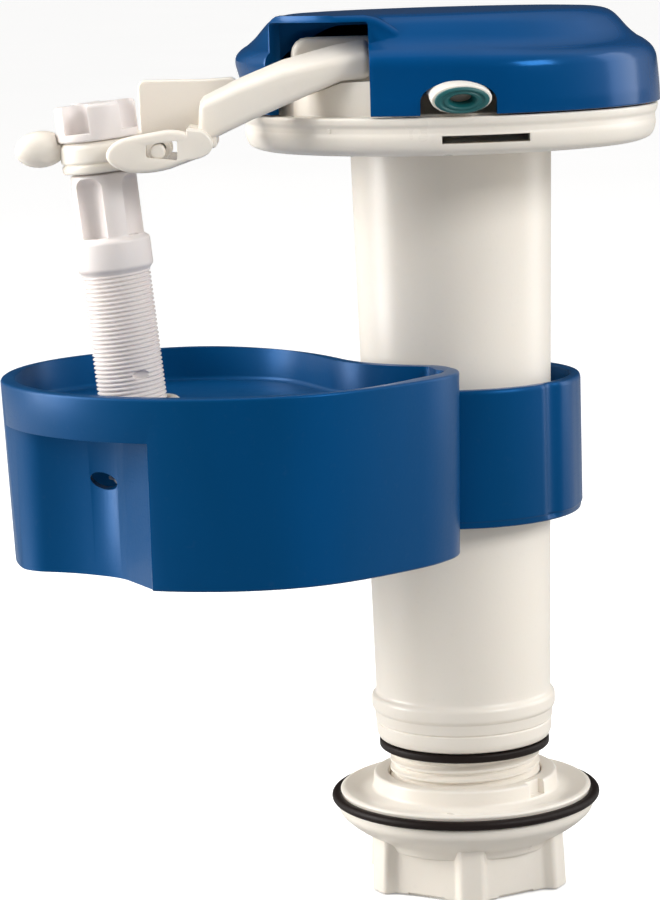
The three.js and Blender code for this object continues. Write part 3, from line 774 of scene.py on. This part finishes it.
class BuildLever(ValveOperator, bpy.types.Operator):
    """Makes the float lever: arm, pilot arm, yoke prongs and wing"""

    bl_idname = "fill_valve.lever"
    bl_label = "Float lever"

    def build(self, context):
        hub = cross_pin(3.6, -12, 134.6, -28.9, -23.9, 0.4)
        neck = block((-17, -28.9, 133.6), (-12, -23.9, 138.2), 0.4)
        inward = block((-12, -28.9, 136), (2.6, -23.9, 138.2), 0.4)
        pilot_arm = block((-4.6, -28.9, 137.2), (2.6, 3.2, 139.5), 0.4)
        pad = post(3.4, 136.9, 139.5, 0.3)
        web = side_slab([
            (-49.2, 119.2), (-46.5, 119.6, 0.9), (-44.7, 120.7, 0.9), (-44.5, 122.6, 0.9), (-46, 124.4, 0.9),
            (-49.2, 124.8),
        ], -37.2, -14.8, 0.3, True)
        prongs = [side_slab(self.prong(), front, front + 3, 0.9, True) for front in (-37.2, -17.8)]
        wing = side_slab([
            (-58.6, 122.6), (-58.8, 133.2, 1.4), (-46, 133), (-40.6, 133.3, 0.9), (-40, 131, 0.9), (-46, 122.6),
        ], -17.8, -14.8, 0.5, True)
        brace = block((-46.5, -31.0, 121), (-44, -14.8, 127.0), 0.5)
        lever = joined(self.arm(), hub, neck, inward, pilot_arm, pad, web, *prongs, wing, brace)
        wedge = side_slab([
            (-56.6, 120, 0.4), (-51.0, 119.3, 0.3), (-50.9, 122.9, 0.4), (-56.6, 122.3, 0.4),
        ], -40, -12)
        lever = cut(lever, wedge, post(2.6, 135.9, 138.4), cross_pin(1.7, -12, 134.6, -40, -20))
        soften(lever, 0.2, lambda p: p.x < -49.5 and 118.9 < p.z < 123.5 and (p.y < -34 or p.y > -18))
        piece("float_lever_moulding", lever, "lever", "ivory_plastic", "float_lever")

    def arm(self):
        """The arm from the pivot to the yoke, its top leaning to the front."""
        bm = side_slab([
            (-15.6, 132.7), (-20.8, 132.5), (-37.7, 125.7), (-44.6, 122.6), (-47.5, 121.2), (-46.9, 130.2),
            (-40, 133.5), (-31.6, 136.8), (-22, 139.3), (-15.6, 140.3),
        ], -31.6, -25.2)
        for vert in bm.verts:
            along = min(1, max(0, (vert.co.x + 46.9) / 25))
            if vert.co.y < -31 and vert.co.z > 130 - 8 * along + 12 * along:
                vert.co.z -= 1.2 + 1.8 * along
        return soften(bm, 1.25, None, 24, 4)

    def prong(self):
        """A prong's leaf-shaped side outline."""
        points = [(-46.1, 119.9), (-46.1, 121.6)]
        spans = [
            ((-46.1, 121.6), (-47.5, 123.9), (-49.8, 124.9), (-53, 124.8)),
            ((-59.4, 123.8), (-63.4, 123.2), (-64.8, 120.6), (-63.3, 119.1)),
            ((-63.3, 119.1), (-61.6, 117.2), (-57.4, 116.5), (-52.3, 117.8)),
        ]
        for span in spans:
            curve = geometry.interpolate_bezier(*(Vector((*p, 0)) for p in span), 12)
            points += [(p.x, p.y) for p in curve if (p.xy - Vector(points[-1])).length > 0.1]
        return points


class BuildCollar(ValveOperator, bpy.types.Operator):
    """Makes the collar that joins the adjuster rod to the lever"""

    bl_idname = "fill_valve.collar"
    bl_label = "Rod collar"

    def build(self, context):
        ring = turned([
            (5.1, -4.3, 0.2), (7.1, -4.3, 0.3), (7.3, -3.9), (7.3, -2.9, 0.2), (6.9, -2.6, 0.1), (7.4, -2.2, 0.2),
            (7.4, 0.6, 0.5), (6.6, 1.5, 0.3), (5.1, 1.5, 0.2),
        ], 96)
        ear = bmesh.new()
        bmesh.ops.create_uvsphere(ear, u_segments=48, v_segments=28, radius=1)
        ear = moved(ear, Matrix.Translation((-10.8, 0, 0.9)) @ Matrix.Diagonal((4.85, 3.4, 3.4, 1)))
        offset = Matrix.Rotation(LEAN, 3, "Y") @ Vector((11.2, 0, -0.5))
        neck = block((5, -3.6, offset.z - 2.2), (offset.x, 3.6, offset.z + 2.2), 0.4)
        knuckle = cross_pin(2.2, offset.x, offset.z, -3.6, 3.6, 0.3)
        collar = joined(ring, ear, neck, knuckle)
        pin_hole = cross_pin(1.3, offset.x, offset.z, -6, 6)
        collar = cut(collar, post(5.1, -6, 4), post(7.9, 1.5, 6), pin_hole)
        piece("rod_collar_moulding", leaning(collar), "collar", "ivory_plastic", "rod_collar")
        ends = [cross_pin(1.4, -54.5, 121, front, front + 2.4, 0.5) for front in (-36.9, -17.5)]
        pin = joined(cross_pin(1.0, -54.5, 121, -36, -16), *ends)
        piece("collar_pin_moulding", pin, "collar", "ivory_plastic", "collar_pin")


class BuildRod(ValveOperator, bpy.types.Operator):
    """Makes the adjuster rod: cross knob, neck, flutes, plain band and thread"""

    bl_idname = "fill_valve.rod"
    bl_label = "Adjuster rod"

    def build(self, context):
        shaft = turned([
            (0, -23.5), (6.2, -23.5), (6.5, -22.9, 0.2), (7.1, -22.3, 0.4), (7.1, -17.2, 0.4), (6.1, -16.5, 0.3),
            (6.1, -4.7, 0.4), (4.8, -4.6, 0.1), (4.8, 1.56, 0.1), (7.5, 1.56, 0.4), (7.5, 8.2, 0.7), (0, 8.2),
        ], 128)
        flutes = self.four(self.flute, 6.5)
        notches = self.four(lambda: post(2.75, 3.0, 11, 0, 48), 6.5)
        holes = self.four(lambda: post(0.75, -19, -15, 0, 24), 5.1)
        shaft = cut(shaft, *flutes, *notches, *holes)
        soften(shaft, 0.45, lambda p: p.z > 2.9, 40, 3)
        depth = sizes().rod_depth / MM
        thread = threaded(6.4 - depth, 6.4, sizes().rod_pitch / MM, -61.4, -23.0, 96)
        tip = turned([(0, -63), (4.9, -63, 0.8), (5.9, -61.3), (0, -61.3)])
        rod = joined(shaft, thread, tip)
        mark = oval(1.6, 0.8, 0, 3, 0.15)
        mark = moved(mark, Matrix.Translation((2.5, -4.8, -42.2)) @ Matrix.Rotation(math.pi / 2, 4, "X"))
        piece("adjuster_rod_moulding", leaning(cut(rod, mark)), "rod", "white_plastic", "adjuster_rod")
        boss = turned([
            (6.9, -53, 0.2), (8.9, -53, 0.3), (8.9, -48.3, 0.4), (8.2, -47.6, 0.3), (6.9, -47.6, 0.4),
        ], 96)
        piece("rod_boss_nut", leaning(boss), "float", "ivory_plastic", "rod_nut")

    def four(self, make, radius):
        """Four like tools round the rod's axis, turned with the knob."""
        turns = [math.radians(a + CROSS) for a in (45, 135, 225, 315)]
        places = [(radius * math.cos(turn), radius * math.sin(turn), 0) for turn in turns]
        return [moved(make(), Matrix.Translation(place)) for place in places]

    def flute(self):
        """A deep channel, open at its foot."""
        return turned([(0, -16.45), (2.95, -16.45, 0.3), (2.95, -6.2, 0.8), (1.6, -5.3, 0.5), (0, -5.2)], 48)


# ---- float ----

class BuildFloat(ValveOperator, bpy.types.Operator):
    """Makes the float: rim, deck, hollow underside, scooped corner and drain"""

    bl_idname = "fill_valve.float"
    bl_label = "Float"

    def build(self, context):
        cup = self.drafted(slab(self.plan(), 44.3, 79, 0.55))
        cup = cut(cup, self.scoop(0, 71))
        tray = self.drafted(self.tray_tool(72.6, 80))
        under = cut(self.drafted(slab(self.plan(-2.2), 40, 70.6)), self.scoop(2.2, 80))
        drain = moved(oval(2.6, 1.5, 30, 60), Matrix.Translation((-66.2, 0, 62.0))
                      @ Matrix.Rotation(math.radians(12), 4, "Y") @ Matrix.Rotation(math.pi / 2, 4, "X"))
        cup = cut(cup, tray, under, leaning(post(9.2, -60, -40)), drain)
        soften(cup, 0.4, self.cut_edge, 34)
        piece("float_cup_moulding", cup, "float", "blue_satin", "float_cup", sharp=34)

    def cut_edge(self, spot):
        """Whether a sharp edge is one to round: the rim's inner edge, the scoop's edges, the drain."""
        inner_rim = spot.z > 78.8
        scoop = spot.x < -54 and spot.y < -24 and 44.6 < spot.z < 73
        return inner_rim or scoop

    def plan(self, step=0.0):
        """The float's outline, grown or shrunk by a step. It wraps the guide sleeve on one side."""
        wrap = 24.5 - step

        def on_sleeve(turn, radius):
            angle = math.radians(turn)
            return radius * math.cos(angle), radius * math.sin(angle)

        nose_x, nose_y = on_sleeve(-99, wrap + 3.4)
        x1, y1 = on_sleeve(-106, wrap)
        x2, y2 = on_sleeve(-154, wrap)
        spans = [
            ((x2, y2), (x2 - 4.5, y2 + 9.5), (-33.5 - step, 8 + step), (-43 - step * 0.5, 12.8 + step)),
            (None, (-51, 17.2 + step), (-60, 14.8 + step), (-68.5 - step * 0.3, 9.6 + step)),
            (None, (-81, 2.4 + step * 0.8), (-86.2 - step, -9.5), (-86.2 - step, -22.5)),
            (None, (-86.2 - step, -43), (-66 - step * 0.5, -61.6 - step), (-41.5, -61.6 - step)),
            (None, (-27, -61.6 - step), (-18, -55), (-8 + step * 0.6, -45.6 - step)),
            (None, (-2.4 + step, -40.4 - step), (1.2 + step, -33.8), (nose_x + 2.6 + step, nose_y - 1.2)),
            (None, (nose_x + 1.6 + step, nose_y + 2.2), (x1 + 2, y1 - 0.6), (x1, y1)),
        ]
        points = []
        start = spans[0][0]
        for _, leave, arrive, end in spans:
            curve = geometry.interpolate_bezier(*(Vector((*p, 0)) for p in (start, leave, arrive, end)), 22)
            points += [(p.x, p.y) for p in curve[:-1]]
            start = end
        turns = [-106 - 48 * i / 24 for i in range(24)]
        return points + [on_sleeve(turn, wrap) for turn in turns]

    def tray_tool(self, deck, top):
        """What is cut out above the deck, with a rounded lower rim."""
        bm = slab(self.plan(-2.7), deck, top)
        lower = [e for e in bm.edges if max(v.co.z for v in e.verts) < deck + 0.01]
        bevel_edges(bm, lower, 0.9)
        return bm

    def drafted(self, bm):
        """Leans the walls inwards below the rim."""
        for vert in bm.verts:
            off_sleeve = min(1, max(0, (vert.co.xy.length - 27) / 12))
            below = (79 - vert.co.z) * 0.05 * off_sleeve
            vert.co.x += below * 0.8 * max(-1, min(1, (-44 - vert.co.x) / 30))
            vert.co.y += below * 0.3 * max(-1, min(1, (-24 - vert.co.y) / 30))
        return bm

    def scoop(self, wall, top):
        """The scooped corner as a solid, moved inwards by a wall."""
        edge = 0.8 if wall == 0 else 0.0
        spans = [
            ((-61.9, -47.8), (-63.6, -44.6), (-66.4, -42.8), (-69.2, -41.0)),
            ((-69.2, -41.0), (-72.4, -38.9), (-75.2, -37.9), (-78.2, -36.9)),
            ((-78.2, -36.9), (-80.4, -36.1), (-82.0, -34.4), (-84.0, -31.4)),
        ]
        points = [(-57.2 + wall, -75), (-57.2 + wall, -56.6 + wall, edge)]
        for span in spans:
            curve = geometry.interpolate_bezier(*(Vector((x + wall, y + wall, 0)) for x, y in span), 12)
            points += [(p.x, p.y) for p in curve[:-1]]
        points.append((-84.0 + wall, -31.4 + wall))
        return slab(points + [(-95, -16), (-95, -75)], 30, top)


class BuildSleeve(ValveOperator, bpy.types.Operator):
    """Makes the guide sleeve that slides on the tube"""

    bl_idname = "fill_valve.sleeve"
    bl_label = "Guide sleeve"

    def build(self, context):
        sleeve = turned([
            (22, 47.4, 0.3), (23.8, 47.4, 0.4), (24.0, 48.6, 0.1), (24.2, 48.9, 0.1), (24.2, 73.1, 0.3),
            (23.9, 73.8, 0.3), (22, 73.8, 0.4),
        ], 288)
        for vert in sleeve.verts:
            radius = vert.co.xy.length
            turn = math.degrees(math.atan2(vert.co.y, vert.co.x))
            if radius > 22.5 and vert.co.z > 48.2:
                sink = 0.75 * bump_shape(turn, -43.7, 6.5) - 0.28 * bump_shape(turn, -31, 11)
                vert.co.xy *= 1 - sink / radius
        piece("guide_sleeve_moulding", sleeve, "float", "blue_satin", "guide_sleeve")


# ---- inner pieces ----

class BuildInnerPieces(ValveOperator, bpy.types.Operator):
    """Refines the pieces inside the valve and the lever's pin from their frame shapes"""

    bl_idname = "fill_valve.inner"
    bl_label = "Inner pieces"

    def build(self, context):
        bodies = frame["record"]["behaviour"]["bodies"]
        body_of = {node: body for body, nodes in bodies.items() for node in nodes}
        rows = {
            "grey_plastic": ("supply_pipe", "seat_ring", "inlet_strainer", "valve_plate"),
            "black_rubber": ("head_seal", "diaphragm", "pilot_seal"),
            "teal_rubber": ("flow_restrictor",),
            "white_plastic": ("diaphragm_guide",),
            "pin_steel": ("lever_pin",),
        }
        for slot, names in rows.items():
            for name in names:
                self.refine(name, body_of[name], slot)

    def refine(self, name, body, slot):
        """A merged copy of a frame node with small rounded edges."""
        bm = bmesh.new()
        bm.from_mesh(frame["nodes"][name].data)
        bmesh.ops.scale(bm, vec=(1 / MM, 1 / MM, 1 / MM), verts=bm.verts[:])
        bmesh.ops.remove_doubles(bm, verts=bm.verts[:], dist=MERGE)
        bmesh.ops.dissolve_limit(bm, angle_limit=math.radians(1), verts=bm.verts[:], edges=bm.edges[:])
        soften(bm, 0.12, None, 32)
        piece(name + "_refined", bm, body, slot, name)


OPERATORS = (
    BuildStage, BuildTube, BuildNut, BuildHead, BuildRefillPort, BuildCap, BuildLever, BuildCollar,
    BuildRod, BuildFloat, BuildSleeve, BuildInnerPieces,
)


class FillValvePanel(bpy.types.Panel):
    """Lists the valve's pieces, sizes and colours"""

    bl_idname = "VIEW3D_PT_fill_valve"
    bl_label = "Fill Valve"
    bl_space_type = "VIEW_3D"
    bl_region_type = "UI"
    bl_category = "Fill Valve"

    def draw(self, context):
        layout = self.layout
        for group_name in GROUPS:
            group = getattr(context.scene, group_name)
            box = layout.box()
            for name in group.__annotations__:
                box.prop(group, name)
        column = layout.column(align=True)
        for operator in OPERATORS:
            column.operator(operator.bl_idname)


GROUPS = {"valve_sizes": ValveSizes, "valve_finishes": ValveFinishes, "valve_stage": ValveStage}
CLASSES = (*GROUPS.values(), *OPERATORS, FillValvePanel)


def register():
    for cls in CLASSES:
        bpy.utils.register_class(cls)
    for name, group in GROUPS.items():
        setattr(bpy.types.Scene, name, bpy.props.PointerProperty(type=group))


def unregister():
    for name in GROUPS:
        delattr(bpy.types.Scene, name)
    for cls in reversed(CLASSES):
        bpy.utils.unregister_class(cls)


def main():
    """Registers the add-on and builds every piece in order."""
    register()
    for operator in OPERATORS:
        group, name = operator.bl_idname.split(".")
        getattr(getattr(bpy.ops, group), name)()


if __name__ == "__main__":
    main()
